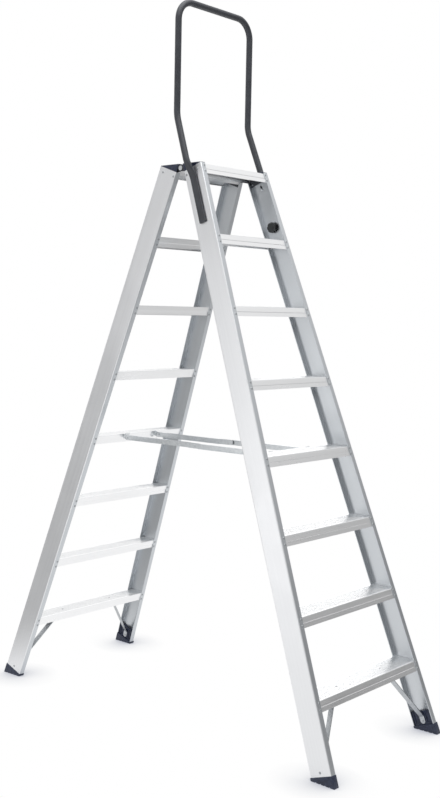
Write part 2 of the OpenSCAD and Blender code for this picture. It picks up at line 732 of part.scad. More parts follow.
// Knobs: lobed, with a hub towards the web, turning on the rail's threaded studs
module knob(hand) {
    lobe_r = knob_d * knob_lobe_share / 2;
    body_h = knob_h - knob_hub_h;
    color(black) ladder("front") leaned() handed(hand) on_stile()
        translate([-stile_wall - knob_gap, rail_n, bolt_v]) rotate([0, -90, 0]) difference() {
            union() {
                cylinder(h = knob_hub_h, r = knob_hub_r);
                translate([0, 0, knob_hub_h]) rotate_extrude() polygon([[0, 0], [knob_d / 2 - knob_crown, 0],
                    [knob_d / 2, knob_crown], [knob_d / 2, body_h - knob_crown],
                    [knob_d / 2 - knob_crown, body_h], [0, body_h]]);
            }
            for (i = [1 : knob_lobes]) rotate(i * 360 / knob_lobes)
                translate([knob_d / 2 + lobe_r / 2, 0, knob_hub_h - over])
                    cylinder(h = body_h + 2 * over, r = lobe_r);
            translate([0, 0, -over]) cylinder(h = knob_h - bolt_end_in + over, r = bolt_r + running);
        }
}

for (s = sides) {
    for (h = hands) {
        stile(s, h);
        foot(s, h);
        cap(s, h);
        brace(s, h);
        hinge_bracket(s, h);
        link(s, h);
        link_rivet(s, h);
    }
    for (k = treads) tread(s, k);
    tread(s, 0);
    tread_rivets(s);
    brace_rivets(s);
    bracket_rivets(s);
    spreader_brackets(s);
    spreader_pins(s);
}
hinge_bolts();
grab_rail();
rail_bolts();
rail_studs();
knob("left");  // knob_left
knob("right");  // knob_right
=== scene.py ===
import json
import math
import bmesh
import bpy
import numpy as np
from mathutils import Matrix, Vector


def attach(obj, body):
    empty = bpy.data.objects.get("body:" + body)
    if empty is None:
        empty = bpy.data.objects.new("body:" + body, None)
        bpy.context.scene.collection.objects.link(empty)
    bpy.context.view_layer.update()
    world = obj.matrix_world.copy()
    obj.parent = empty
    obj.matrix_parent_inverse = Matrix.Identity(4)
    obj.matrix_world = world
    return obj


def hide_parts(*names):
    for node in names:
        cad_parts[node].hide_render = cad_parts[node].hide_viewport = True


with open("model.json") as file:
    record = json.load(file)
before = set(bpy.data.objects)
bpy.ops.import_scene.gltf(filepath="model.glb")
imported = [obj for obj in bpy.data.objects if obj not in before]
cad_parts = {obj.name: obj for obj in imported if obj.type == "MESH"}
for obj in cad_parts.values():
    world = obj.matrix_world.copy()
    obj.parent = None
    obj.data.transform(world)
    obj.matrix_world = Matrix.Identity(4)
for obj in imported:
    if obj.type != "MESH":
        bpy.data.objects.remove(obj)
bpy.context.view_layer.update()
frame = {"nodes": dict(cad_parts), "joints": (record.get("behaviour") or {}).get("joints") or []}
nodes = frame["nodes"]
joints = {j["name"]: j for j in frame["joints"]}
print("frame loaded with", len(nodes), "nodes")


# sRGB hex text to a linear colour
def hexColour(text):
    part = np.array([int(text[i:i + 2], 16) for i in (1, 3, 5)]) / 255
    linear = np.where(part <= 0.04045, part / 12.92, ((part + 0.055) / 1.055) ** 2.4)
    return (*[float(c) for c in linear], 1.0)


# adds one node, sets what it is given and links the sockets among its inputs
def addNode(tree, kind, inputs=None, **settings):
    node = tree.nodes.new(kind)
    for name, value in settings.items():
        setattr(node, name, value)
    for name, value in (inputs or {}).items():
        if isinstance(value, bpy.types.NodeSocket):
            tree.links.new(value, node.inputs[name])
        else:
            node.inputs[name].default_value = value
    return node


def emptyMaterial(name):
    material = bpy.data.materials.new(name)
    material.use_nodes = True
    material.node_tree.nodes.clear()
    return material, material.node_tree


# one principled shader, with the values that are the same all over set on its own sockets
def newMaterial(name, values):
    material, tree = emptyMaterial(name)
    shader = addNode(tree, "ShaderNodeBsdfPrincipled", values)
    addNode(tree, "ShaderNodeOutputMaterial", {"Surface": shader.outputs[0]})
    return material, tree, shader


# how the ladders lie, read from the frame: the lean of the front one and the splay of its stiles
leanAxis = Vector(joints["rail_lift"]["axis"])
lean = math.atan2(leanAxis.y, leanAxis.z)
webNormal = Vector(joints["knob_right_turn"]["axis"])
splay = math.asin(math.hypot(webNormal.y, webNormal.z))
# metres: height of the platform, and from the middle planes to the ladders' inner faces and the webs there
ladder = {"platform": 1.880, "halfGap": 0.009, "halfTop": 0.173}

# Extruded aluminium, mill finish: the die leaves long faint streaks and a satin sheen. The flanges and the
# inside of the channel are painted greyer than the webs' outer faces, as painted shade
stileMetal = {
    "colour": "#F0F1F3",
    "streak": "#E8E9EB",
    "inside": "#DDE0E2",   # painted shade inside the channel, multiplies the colour
    "wall": 2.4,           # mm
    "insideFrom": 0.3,     # shares of the wall behind its outer face where the painted shade inside begins and is full
    "insideTo": 0.9,
    "roughness": 0.34,
    "streakAcross": 7.0,   # mm, wider than the real die lines, which are too fine to show
    "streakAlong": 900.0,  # mm
    "lineAcross": 1.1,     # mm, the finer lines that show close up
    "cloud": 160.0,        # mm, slow change of the sheen from handling
}
# the treads are a whiter, etched extrusion, with grey left in the grooves between the ribs
treadMetal = {
    "colour": "#FBFBFC",
    "streak": "#F4F5F6",
    "roughness": 0.31,
    "streakAcross": 6.0,
    "streakAlong": 700.0,
    "lineAcross": 1.0,
    "cloud": 120.0,
    "groove": "#E4E6E7",
    "rise": 235.0,         # mm from tread to tread
    "ribHeight": 1.2,      # mm
    "greyFrom": 0.25,      # depths, in rib heights, where the grey begins, is full, thins out and ends
    "greyFull": 0.9,
    "greyThins": 1.3,
    "greyEnds": 1.6,
    "greyShare": 0.8,
}
# shared by both: how far the roughness strays, and the fine lines' strength and depth in mm
dieMarks = {"roughSpread": 0.07, "lineStrength": 0.12, "lineDepth": 0.2}

# the rear right stile's own axes: out of its web, across its flanges and up along it
foldedNormal = Vector((webNormal.x, -webNormal.y, webNormal.z))
acrossStile = Vector((0, math.cos(lean), math.sin(lean)))
stileAxes = (foldedNormal, acrossStile, foldedNormal.cross(acrossStile))


# Streaks lie along Z of the turned place. For the stiles its X and Y are folded first, so that all four agree
def extrudedMaterial(name, look, turn):
    material, tree, shader = newMaterial(name, {"Metallic": 1.0})
    point = addNode(tree, "ShaderNodeTexCoord").outputs["Object"]
    place = point
    if "wall" in look:
        place = addNode(tree, "ShaderNodeVectorMath", {0: place}, operation="ABSOLUTE").outputs[0]
    place = addNode(tree, "ShaderNodeMapping", {"Vector": place, "Rotation": turn}).outputs[0]
    across, along, fine = (1000 / look[k] for k in ("streakAcross", "streakAlong", "lineAcross"))
    broad, thin = (addNode(tree, "ShaderNodeVectorMath", {0: place, 1: (width, width, along)},
                           operation="MULTIPLY").outputs[0] for width in (across, fine))
    streak, line, cloud = (addNode(tree, "ShaderNodeTexNoise", {"Vector": where, "Scale": scale,
                                   "Detail": detail}).outputs["Fac"]
                           for where, scale, detail in ((broad, 1.0, 2.0), (thin, 1.0, 1.0),
                                                        (point, 1000 / look["cloud"], 3.0)))
    tint = addNode(tree, "ShaderNodeMix", {"Factor": streak, "A": hexColour(look["streak"]),
                   "B": hexColour(look["colour"])}, data_type="RGBA").outputs["Result"]
    if "wall" in look:
        # how far a point lies behind the web's outer face; from there inwards the colour is darkened as
        # painted shade
        out = addNode(tree, "ShaderNodeSeparateXYZ", {0: place}).outputs["X"]
        outer = Vector((ladder["halfTop"], ladder["halfGap"], ladder["platform"])).dot(stileAxes[0])
        wall = look["wall"] / 1000
        inside = addNode(tree, "ShaderNodeMapRange", {
            "Value": out, "From Min": outer - look["insideFrom"] * wall,
            "From Max": outer - look["insideTo"] * wall}).outputs[0]
        tint = addNode(tree, "ShaderNodeMix", {"Factor": inside, "A": tint, "B": hexColour(look["inside"])},
                       data_type="RGBA", blend_type="MULTIPLY").outputs["Result"]
    if "groove" in look:
        # depth below the tread's top, as a share of the tread spacing, with the rib crests at one half
        height = addNode(tree, "ShaderNodeSeparateXYZ", {0: point}).outputs["Z"]
        level = addNode(tree, "ShaderNodeMath", {0: height, 1: 1000 / look["rise"], 2: 0.5},
                        operation="MULTIPLY_ADD").outputs[0]
        share = addNode(tree, "ShaderNodeMath", {0: level}, operation="FRACT").outputs[0]
        begins, full, thins, ends = (0.5 - look[k] * look["ribHeight"] / look["rise"]
                                     for k in ("greyFrom", "greyFull", "greyThins", "greyEnds"))
        low = addNode(tree, "ShaderNodeMapRange", {"Value": share, "From Min": begins, "From Max": full,
                      "To Max": look["greyShare"]}).outputs[0]
        high = addNode(tree, "ShaderNodeMapRange", {"Value": share, "From Min": ends,
                       "From Max": thins}).outputs[0]
        grey = addNode(tree, "ShaderNodeMath", {0: low, 1: high}, operation="MULTIPLY").outputs[0]
        tint = addNode(tree, "ShaderNodeMix", {"Factor": grey, "A": tint, "B": hexColour(look["groove"])},
                       data_type="RGBA").outputs["Result"]
    tree.links.new(tint, shader.inputs["Base Color"])
    # the two noises add up to about one, and the roughness strays with their sum
    sheen = addNode(tree, "ShaderNodeMath", {0: streak, 1: cloud}, operation="ADD").outputs[0]
    rough = addNode(tree, "ShaderNodeMapRange", {
        "Value": sheen, "From Min": 0.5, "From Max": 1.5,
        "To Min": look["roughness"] - dieMarks["roughSpread"],
        "To Max": look["roughness"] + dieMarks["roughSpread"]}).outputs[0]
    tree.links.new(rough, shader.inputs["Roughness"])
    bump = addNode(tree, "ShaderNodeBump", {"Height": line, "Strength": dieMarks["lineStrength"],
                   "Distance": dieMarks["lineDepth"] / 1000}).outputs[0]
    tree.links.new(bump, shader.inputs["Normal"])
    return material


# Zinc-plated steel has a faint spangle of plating, dulled on the braces near the floor; blind rivets are
# drawn aluminium with a finer one. Cells in mm
zinc = {"colour": "#E2E5E7", "spangle": "#CFD3D6", "cell": 5.0, "roughness": 0.33, "roughSpread": 0.08}
dullZinc = {"colour": "#C4C7CA", "spangle": "#B0B4B7", "cell": 5.0, "roughness": 0.38, "roughSpread": 0.08}
rivetMetal = {"colour": "#B4B7BA", "spangle": "#A6A9AC", "cell": 1.5, "roughness": 0.45, "roughSpread": 0.08}


def platedMaterial(name, look):
    material, tree, shader = newMaterial(name, {"Metallic": 1.0})
    place = addNode(tree, "ShaderNodeTexCoord").outputs["Object"]
    cell = addNode(tree, "ShaderNodeTexVoronoi", {"Vector": place, "Scale": 1000 / look["cell"]})
    tint = addNode(tree, "ShaderNodeMix", {"Factor": cell.outputs["Color"], "A": hexColour(look["colour"]),
                   "B": hexColour(look["spangle"])}, data_type="RGBA").outputs["Result"]
    tree.links.new(tint, shader.inputs["Base Color"])
    rough = addNode(tree, "ShaderNodeMapRange", {
        "Value": cell.outputs["Distance"], "To Min": look["roughness"] - look["roughSpread"],
        "To Max": look["roughness"] + look["roughSpread"]}).outputs[0]
    tree.links.new(rough, shader.inputs["Roughness"])
    return material


# Moulded plastic and powder coat: a fine grain in the surface and a slow mottle in the colour. Sizes in mm
navyPlastic = {
    "colour": "#182036",
    "mottle": "#2A344C",
    "grain": 1.6,
    "blotch": 7.0,
    "roughness": 0.46,
    "bump": 0.35,
    "dust": "#484B58",
    "dustHeight": 22.0,
    "dustShare": 0.55,
}
greyCoat = {
    "colour": "#35373D",
    "mottle": "#3F4248",
    "grain": 1.0,
    "blotch": 30.0,
    "roughness": 0.42,
    "bump": 0.07,
}
blackPlastic = {
    "colour": "#1B1E1F",
    "mottle": "#272B2C",
    "grain": 1.2,
    "blotch": 8.0,
    "roughness": 0.4,
    "bump": 0.25,
}
# shared by the three: the span of the noise that the mottle uses, the roughness's straying, the grain's depth
grained = {"mottleFrom": 0.35, "mottleTo": 0.65, "roughSpread": 0.08, "grainDepth": 0.3, "ior": 1.5}


def grainedMaterial(name, look):
    material, tree, shader = newMaterial(name, {"IOR": grained["ior"]})
    place = addNode(tree, "ShaderNodeTexCoord").outputs["Object"]
    blotch, grain = (addNode(tree, "ShaderNodeTexNoise", {"Vector": place, "Scale": 1000 / look[k],
                             "Detail": detail}).outputs["Fac"]
                     for k, detail in (("blotch", 3.0), ("grain", 2.0)))
    spread = addNode(tree, "ShaderNodeMapRange", {"Value": blotch, "From Min": grained["mottleFrom"],
                     "From Max": grained["mottleTo"]}).outputs[0]
    tint = addNode(tree, "ShaderNodeMix", {"Factor": spread, "A": hexColour(look["colour"]),
                   "B": hexColour(look["mottle"])}, data_type="RGBA").outputs["Result"]
    if "dust" in look:
        # pale dust caught in the grain, thinning upwards from the floor
        height = addNode(tree, "ShaderNodeSeparateXYZ", {0: place}).outputs["Z"]
        fade = addNode(tree, "ShaderNodeMapRange", {"Value": height, "From Max": look["dustHeight"] / 1000,
                       "To Min": look["dustShare"], "To Max": 0.0}).outputs[0]
        caught = addNode(tree, "ShaderNodeMath", {0: fade, 1: blotch}, operation="MULTIPLY").outputs[0]
        tint = addNode(tree, "ShaderNodeMix", {"Factor": caught, "A": tint, "B": hexColour(look["dust"])},
                       data_type="RGBA").outputs["Result"]
    tree.links.new(tint, shader.inputs["Base Color"])
    rough = addNode(tree, "ShaderNodeMapRange", {
        "Value": grain, "To Min": look["roughness"] - grained["roughSpread"],
        "To Max": look["roughness"] + grained["roughSpread"]}).outputs[0]
    tree.links.new(rough, shader.inputs["Roughness"])
    bump = addNode(tree, "ShaderNodeBump", {"Height": grain, "Strength": look["bump"],
                   "Distance": grained["grainDepth"] / 1000}).outputs[0]
    tree.links.new(bump, shader.inputs["Normal"])
    return material


finishes = {
    "stile": extrudedMaterial("extruded_aluminium_stile", stileMetal, Matrix(stileAxes).to_euler()),
    "tread": extrudedMaterial("etched_aluminium_tread", treadMetal, (0.0, math.pi / 2, 0.0)),
    "zinc": platedMaterial("zinc_plated_steel", zinc),
    "dullZinc": platedMaterial("dulled_zinc_plated_steel", dullZinc),
    "rivet": platedMaterial("drawn_aluminium_rivet", rivetMetal),
    "navy": grainedMaterial("moulded_navy_plastic", navyPlastic),
    "grey": grainedMaterial("powder_coated_steel", greyCoat),
    "black": grainedMaterial("moulded_black_plastic", blackPlastic),
}
# the first word found in a node's name gives its finish; the rest is zinc-plated
finishWords = [("stile", "stile"), ("foot", "navy"), ("cap", "navy"), ("rivets", "rivet"), ("tread", "tread"),
               ("brace", "dullZinc"), ("grab_rail", "grey"), ("hinge_bracket", "grey"), ("knob", "black"),
               ("", "zinc")]


def finishOf(name):
    return next(finish for word, finish in finishWords if word in name)


for name, node in nodes.items():
    node.data.materials.clear()
    node.data.materials.append(finishes[finishOf(name)])
print("finishes set on", len(nodes), "nodes")


# a grid of points, closed round its second index, with a face over each end
def gridMesh(name, points):
    rows, cols = points.shape[:2]
    index = np.arange(rows * cols).reshape(rows, cols)
    after = np.roll(index, -1, axis=1)
    quads = np.stack([index[:-1], after[:-1], after[1:], index[1:]], axis=-1).reshape(-1, 4)
    ends = [index[0].tolist(), index[-1].tolist()]
    mesh = bpy.data.meshes.new(name)
    mesh.from_pydata(points.reshape(-1, 3).tolist(), [], quads.tolist() + ends)
    return mesh


# rounds the shading except over edges sharper than the angle in degrees
def smoothMesh(mesh, sharpAngle):
    mesh.shade_smooth()
    mesh.set_sharp_from_angle(angle=math.radians(sharpAngle))


# turns the faces outwards and rounds the shading
def finishMesh(mesh, sharpAngle):
    work = bmesh.new()
    work.from_mesh(mesh)
    bmesh.ops.recalc_face_normals(work, faces=work.faces)
    work.to_mesh(mesh)
    work.free()
    smoothMesh(mesh, sharpAngle)


# a copy of a node's mesh, with its loose triangles merged where corners are closer than a distance in metres
def mergedCopy(node, within=0.00001):
    work = bmesh.new()
    work.from_mesh(nodes[node].data)
    bmesh.ops.remove_doubles(work, verts=work.verts, dist=within)
    return work


def meshFrom(work, name):
    mesh = bpy.data.meshes.new(name)
    work.to_mesh(mesh)
    work.free()
    return mesh


def addPiece(mesh, node, body):
    piece = bpy.data.objects.new(mesh.name, mesh)
    bpy.context.scene.collection.objects.link(piece)
    mesh.materials.clear()
    mesh.materials.append(finishes[finishOf(node)])
    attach(piece, body)
    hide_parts(node)
    return piece


# Grab rail: one steel tube, bent in each leg and at the top corners, its ends pressed flat on the stiles
rail = {
    "across": 0.0385,        # metres, as all lengths here, from the stile's inner edge to the legs
    "out": 0.021,            # web to the legs' axis
    "radius": 0.011,
    "flatRadius": 0.003,     # half the thickness of the pressed ends
    "flatHalf": 0.0115,      # half their width, without the round edges
    "flatOut": 0.0033,
    "endDrop": 0.198,        # below the platform
    "flatDrop": 0.052,
    "roundRise": 0.016,      # above the platform
    "bendRise": 0.143,
    "topRise": 0.542,
    "upperLean": 0.3,        # degrees
    "bendRadius": 0.110,
    "cornerRadius": 0.065,
    "endCorner": 0.004,
    "endRound": 0.0008,
    "sides": 56,
    "endRows": 12,           # steps along the path, from the cut end to the middle of the bar
    "stripRows": 5,
    "taperRows": 28,
    "legRows": 6,
    "bendRows": 18,
    "upperRows": 8,
    "cornerRows": 24,
    "barRows": 5,
    "sharpAngle": 50,
}


# The path goes up a leg, over the bar and down; it is worked out for the right half and mirrored.
# The section is a slot shape: two half circles of radius r joined by flats of length 2h. Pressing the tube
# takes r from the tube's radius to half the strip's thickness, and h from nothing to the strip's half width.
def railMesh(look):
    across, turn = look["across"], lean + math.radians(look["upperLean"])
    cornerRadius = look["cornerRadius"]

    def upAt(rise):
        return (rise - across * math.sin(lean)) / math.cos(lean) / math.cos(splay)

    def fromLeaned(x, n, v):
        y = -(ladder["halfGap"] + n * math.cos(lean) - v * math.sin(lean))
        z = ladder["platform"] + n * math.sin(lean) + v * math.cos(lean)
        return np.stack(np.broadcast_arrays(x, y, z), axis=-1)

    def stileToLeaned(out, up):
        x = ladder["halfTop"] + out * math.cos(splay) - up * math.sin(splay)
        return x, out * math.sin(splay) + up * math.cos(splay)

    # steps from one place to the next, without the first
    def steps(start, end, rows):
        return np.linspace(start, end, look[rows] + 1)[1:]

    rises = (-look["endDrop"], -look["flatDrop"], look["roundRise"], look["bendRise"])
    endUp, flatUp, roundUp, bendUp = (upAt(rise) for rise in rises)
    # the pressed end and the taper, with close rows where the end is rounded off
    endUps = endUp + look["endCorner"] * (1 - np.cos(np.linspace(0, math.pi / 2, look["endRows"])))
    legUp = np.concatenate([endUps, steps(endUp + look["endCorner"], flatUp, "stripRows"),
                            steps(flatUp, roundUp, "taperRows"), steps(roundUp, bendUp, "legRows")])
    pressed = np.clip((legUp - flatUp) / (roundUp - flatUp), 0, 1)
    pressed = 1 - pressed ** 2 * (3 - 2 * pressed)
    legOut = look["out"] + (look["flatOut"] - look["out"]) * pressed
    legX, legV = stileToLeaned(legOut, legUp)
    # the bend turns the leg from the stile's direction to the upper part's
    way = np.array([math.cos(turn) * math.sin(splay), math.sin(turn), math.cos(turn) * math.cos(splay)])
    t = steps(0, math.acos(way[2]), "bendRows")
    aside = look["bendRadius"] * (1 - np.cos(t))
    bendWay = math.atan2(way[1], way[0])
    bendX, bendV = stileToLeaned(look["out"] + aside * math.cos(bendWay),
                                 bendUp + look["bendRadius"] * np.sin(t))
    bendN = across + aside * math.sin(bendWay)
    # the upper leg, the corner and half the bar lie in one plane, s being the way up in it
    x0, n0, v0 = bendX[-1], bendN[-1], bendV[-1]
    upper = (look["topRise"] - n0 * math.sin(lean) - v0 * math.cos(lean)) / math.cos(turn - lean)
    upper -= cornerRadius
    c = steps(0, math.pi / 2, "cornerRows")
    upperX = np.concatenate([np.full(look["upperRows"], x0), x0 - cornerRadius * (1 - np.cos(c)),
                             steps(x0 - cornerRadius, 0, "barRows")])
    upperS = np.concatenate([steps(0, upper, "upperRows"), upper + cornerRadius * np.sin(c),
                             np.full(look["barRows"], upper + cornerRadius)])
    half = np.concatenate([fromLeaned(legX, across, legV), fromLeaned(bendX, bendN, bendV),
                           fromLeaned(upperX, n0 + upperS * math.sin(turn), v0 + upperS * math.cos(turn))])
    press = np.concatenate([pressed, np.zeros(len(half) - len(pressed))])
    # distance from the cut end, for its rounded corners and edges
    fromEnd = np.linalg.norm(half - half[0], axis=1)
    corner, edge = (np.clip(1 - fromEnd / look[k], 0, 1) for k in ("endCorner", "endRound"))
    r = look["radius"] + (look["flatRadius"] - look["radius"]) * press
    r = r - look["endRound"] * (1 - np.sqrt(1 - edge ** 2))
    h = look["flatHalf"] * press - look["endCorner"] * (1 - np.sqrt(1 - corner ** 2))

    path = np.concatenate([half, (half * [-1, 1, 1])[-2::-1]])
    r, h = (np.concatenate([q, q[-2::-1]])[:, None] for q in (r, h))
    along = np.gradient(path, axis=0)
    along /= np.linalg.norm(along, axis=1, keepdims=True)
    wide = np.array([0, -math.cos(lean), math.sin(lean)])
    wide = wide - (along @ wide)[:, None] * along
    wide /= np.linalg.norm(wide, axis=1, keepdims=True)
    thick = np.cross(along, wide)
    # length round the slot shape from the middle of a flat: u runs on the flats, a turns on the half circles
    s = np.arange(look["sides"]) / look["sides"] * (2 * math.pi * r + 4 * h)
    u = (np.clip(s, 0, h) - np.clip(s - h - math.pi * r, 0, 2 * h)
         + np.clip(s - 3 * h - 2 * math.pi * r, 0, h))
    a = (np.clip(s - h, 0, math.pi * r) + np.clip(s - 3 * h - math.pi * r, 0, math.pi * r)) / r
    points = (path[:, None] + (u + r * np.sin(a))[..., None] * wide[:, None]
              + (r * np.cos(a))[..., None] * thick[:, None])
    mesh = gridMesh("grab_rail_tube", points)
    finishMesh(mesh, look["sharpAngle"])
    return mesh


addPiece(railMesh(rail), "grab_rail", "grab_rail")
print("grab rail swept")

# Clamp knobs: turned discs with a hub towards the web, their rims scalloped for the fingers
knob = {
    "radius": 0.019,
    "hubRadius": 0.010,
    "hubHeight": 0.004,
    "hubEdge": 0.0006,       # chamfer on the hub's end
    "hubFillet": 0.0012,
    "height": 0.0145,
    "standOff": 0.00347,     # stile's wall and the gap behind the hub
    "bore": 0.0041,
    "boreDepth": 0.0104,
    "boreEdge": 0.0004,
    "lobes": 7,
    "scallop": 0.0023,
    "scallopWidth": 0.9,     # radians of a lobe's own turn
    "round": 0.0034,
    "dish": 0.0009,
    "faceEdge": 0.0015,      # flat ring between the rim and the dish
    "dishEdge": 0.002,
    "pole": 0.0002,          # radius of the last ring about the axis
    "turns": 140,
    "roundRows": 9,
    "sharpAngle": 40,
}


# The profile runs from the bore's floor, out round the hub and rim, to the dished face. Each scallop
# is a bell curve in the angle that draws the rim in, fading to nothing at the hub.
def knobMesh(name, look, joint):
    radius, hub, low, top, edge = (look[k] for k in ("radius", "hubRadius", "hubHeight", "height", "round"))
    bore, boreEdge, hubEdge, fillet = (look[k] for k in ("bore", "boreEdge", "hubEdge", "hubFillet"))
    rim = radius - edge
    q = np.linspace(0, math.pi / 2, look["roundRows"])
    dish = q[1:-1]
    profile = np.concatenate([
        [(look["pole"], look["boreDepth"]), (bore, look["boreDepth"]), (bore, boreEdge),
         (bore + boreEdge, 0.0), (hub - hubEdge, 0.0), (hub, hubEdge)],
        np.stack([hub + fillet * (1 - np.cos(q)), low - fillet + fillet * np.sin(q)], axis=-1),
        np.stack([rim + edge * np.sin(q), low + edge * (1 - np.cos(q))], axis=-1),
        np.stack([rim + edge * np.cos(q), top - edge + edge * np.sin(q)], axis=-1),
        [(rim - look["faceEdge"], top)],
        np.stack([(rim - look["dishEdge"]) * np.cos(dish),
                  top - look["dish"] * np.sin(dish) ** 0.5], axis=-1),
        [(look["pole"], top - look["dish"])]])
    angle = np.linspace(0, 2 * math.pi, look["turns"], endpoint=False)
    phase = (angle * look["lobes"] + math.pi) % (2 * math.pi) - math.pi
    bell = np.exp(-(phase / look["scallopWidth"]) ** 2)
    reach = np.clip((profile[:, 0] - hub) / (radius - hub), 0, 1)
    r = profile[:, :1] - look["scallop"] * reach[:, None] ** 2 * bell
    inward = -Vector(joint["axis"])
    across = inward.orthogonal().normalized()
    axes = np.array([across, inward.cross(across), inward])
    depth = np.broadcast_to(profile[:, 1:] + look["standOff"], r.shape)
    local = np.stack([r * np.cos(angle), r * np.sin(angle), depth], axis=-1)
    mesh = gridMesh(name, np.array(joint["pos_m"]) + local @ axes)
    finishMesh(mesh, look["sharpAngle"])
    return mesh


for side in ("left", "right"):
    mesh = knobMesh("knob_lobed_" + side, knob, joints[f"knob_{side}_turn"])
    addPiece(mesh, "knob_" + side, "knob_" + side)
print("knobs turned")

# Moulded feet and caps: the solids' sharp edges are rounded off as a mould leaves them
moulding = {
    "footRound": 0.0015,
    "capRound": 0.0008,
    "flatWithin": 1.0,       # degrees, faces that are joined first
    "roundOver": 35.0,       # degrees, edges that are rounded
    "segments": 3,
    "sharpAngle": 40,
}
# Spreader pins: slimmer, and longer between their heads, by a share of their size, near their axis
spreaderPin = {"looser": 0.03, "reach": 0.006, "sharpAngle": 40}


# a merged copy of a node, its flat faces joined and its sharp edges rounded by the given radius
def mouldedMesh(name, node, rounding, look):
    work = mergedCopy(node)
    bmesh.ops.dissolve_limit(work, angle_limit=math.radians(look["flatWithin"]), verts=work.verts,
                             edges=work.edges)
    sharp = [e for e in work.edges if e.calc_face_angle() > math.radians(look["roundOver"])]
    bmesh.ops.bevel(work, geom=sharp, offset=rounding, offset_type="OFFSET", segments=look["segments"],
                    profile=0.5, affect="EDGES", clamp_overlap=False)
    mesh = meshFrom(work, name)
    smoothMesh(mesh, look["sharpAngle"])
    return mesh


# a merged copy of the pins, drawn in towards their own axis and a little longer between their heads, so that
# the links turn freely on them; the rivets that come with them lie further off and stay
def pinMesh(name, node, joint, look):
    mesh = meshFrom(mergedCopy(node), name)
    points = np.empty(3 * len(mesh.vertices))
    mesh.vertices.foreach_get("co", points)
    points = points.reshape(-1, 3)
    offset = points - joint["pos_m"]
    close = np.linalg.norm(offset[:, 1:], axis=1) < look["reach"]
    ends = np.abs(points[close, 0])
    offset[:, 0] = points[:, 0] - np.sign(points[:, 0]) * (ends.min() + ends.max()) / 2
    points[close] += offset[close] * [look["looser"], -look["looser"], -look["looser"]]
    mesh.vertices.foreach_set("co", points.ravel())
    finishMesh(mesh, look["sharpAngle"])
    return mesh


for side in ("front", "rear"):
    pins = side + "_spreader_pins"
    mesh = pinMesh(pins + "_turned", pins, joints[side + "_arm_left_fold"], spreaderPin)
    addPiece(mesh, pins, side + "_frame")
    for hand in ("left", "right"):
        for part, rounding in (("foot", moulding["footRound"]), ("cap", moulding["capRound"])):
            node = f"{side}_{part}_{hand}"
            mesh = mouldedMesh(node + "_moulded", node, rounding, moulding)
            addPiece(mesh, node, side + "_frame")
print("feet, caps and pins finished")

# Studio: a white floor, shaded only close beside the feet, a white backdrop, two tall soft boxes and a
# dimmer room
studio = {
    "white": "#FFFFFF",
    "floorRadius": 30.0,
    "floorColour": "#F6F6F7",
    "shade": "#B9BCC6",    # the floor close beside a foot
    "shadeReach": 0.14,    # metres
    "shadeFull": 0.45,     # how open the floor is where the shade is full
    "shadeSamples": 16,
    "litBehind": (0.75, 1.45, 0.46),  # the floor that metal mirrors dims from, to, and down to, going back
    "litBefore": (-0.7, -2.2, 0.42),  # and going forwards
    "worldLevel": 0.5,     # light that the surround gives to matt surfaces
    "backdrop": (0.6, 0.8, 0.0),
    "backdropFrom": 0.45,
    "backdropTo": 0.8,
    "backdropLevel": 1.25,
    "roomSide": (-0.8, 0.6, 0.0),
    "roomFrom": -0.2,
    "roomTo": 0.7,
    "roomDim": 0.17,       # what metal mirrors low down in front
    "roomPale": 0.42,      # and low down on the left
    "skyFrom": 0.02,
    "skyTo": 0.5,
    "skyLevel": 0.95,
    "topLamp": {"place": (-0.4, -0.6, 4.6), "aim": (0, 0, 0.9), "size": (3.4, 3.4), "power": 90.0},
    "leftLamp": {"place": (-2.2, 1.0, 1.05), "aim": (0, 1.0, 1.05), "size": (1.1, 2.0), "power": 7.0},
    "rightLamp": {"place": (2.2, 1.0, 1.05), "aim": (0, 1.0, 1.05), "size": (1.1, 2.0), "power": 5.0},
}


# 1 for a ray that a mirroring or clear surface has sent on, else 0
def mirroredRay(tree, rays):
    return addNode(tree, "ShaderNodeMath", {0: rays.outputs["Is Glossy Ray"],
                   1: rays.outputs["Is Transmission Ray"]}, operation="MAXIMUM").outputs[0]


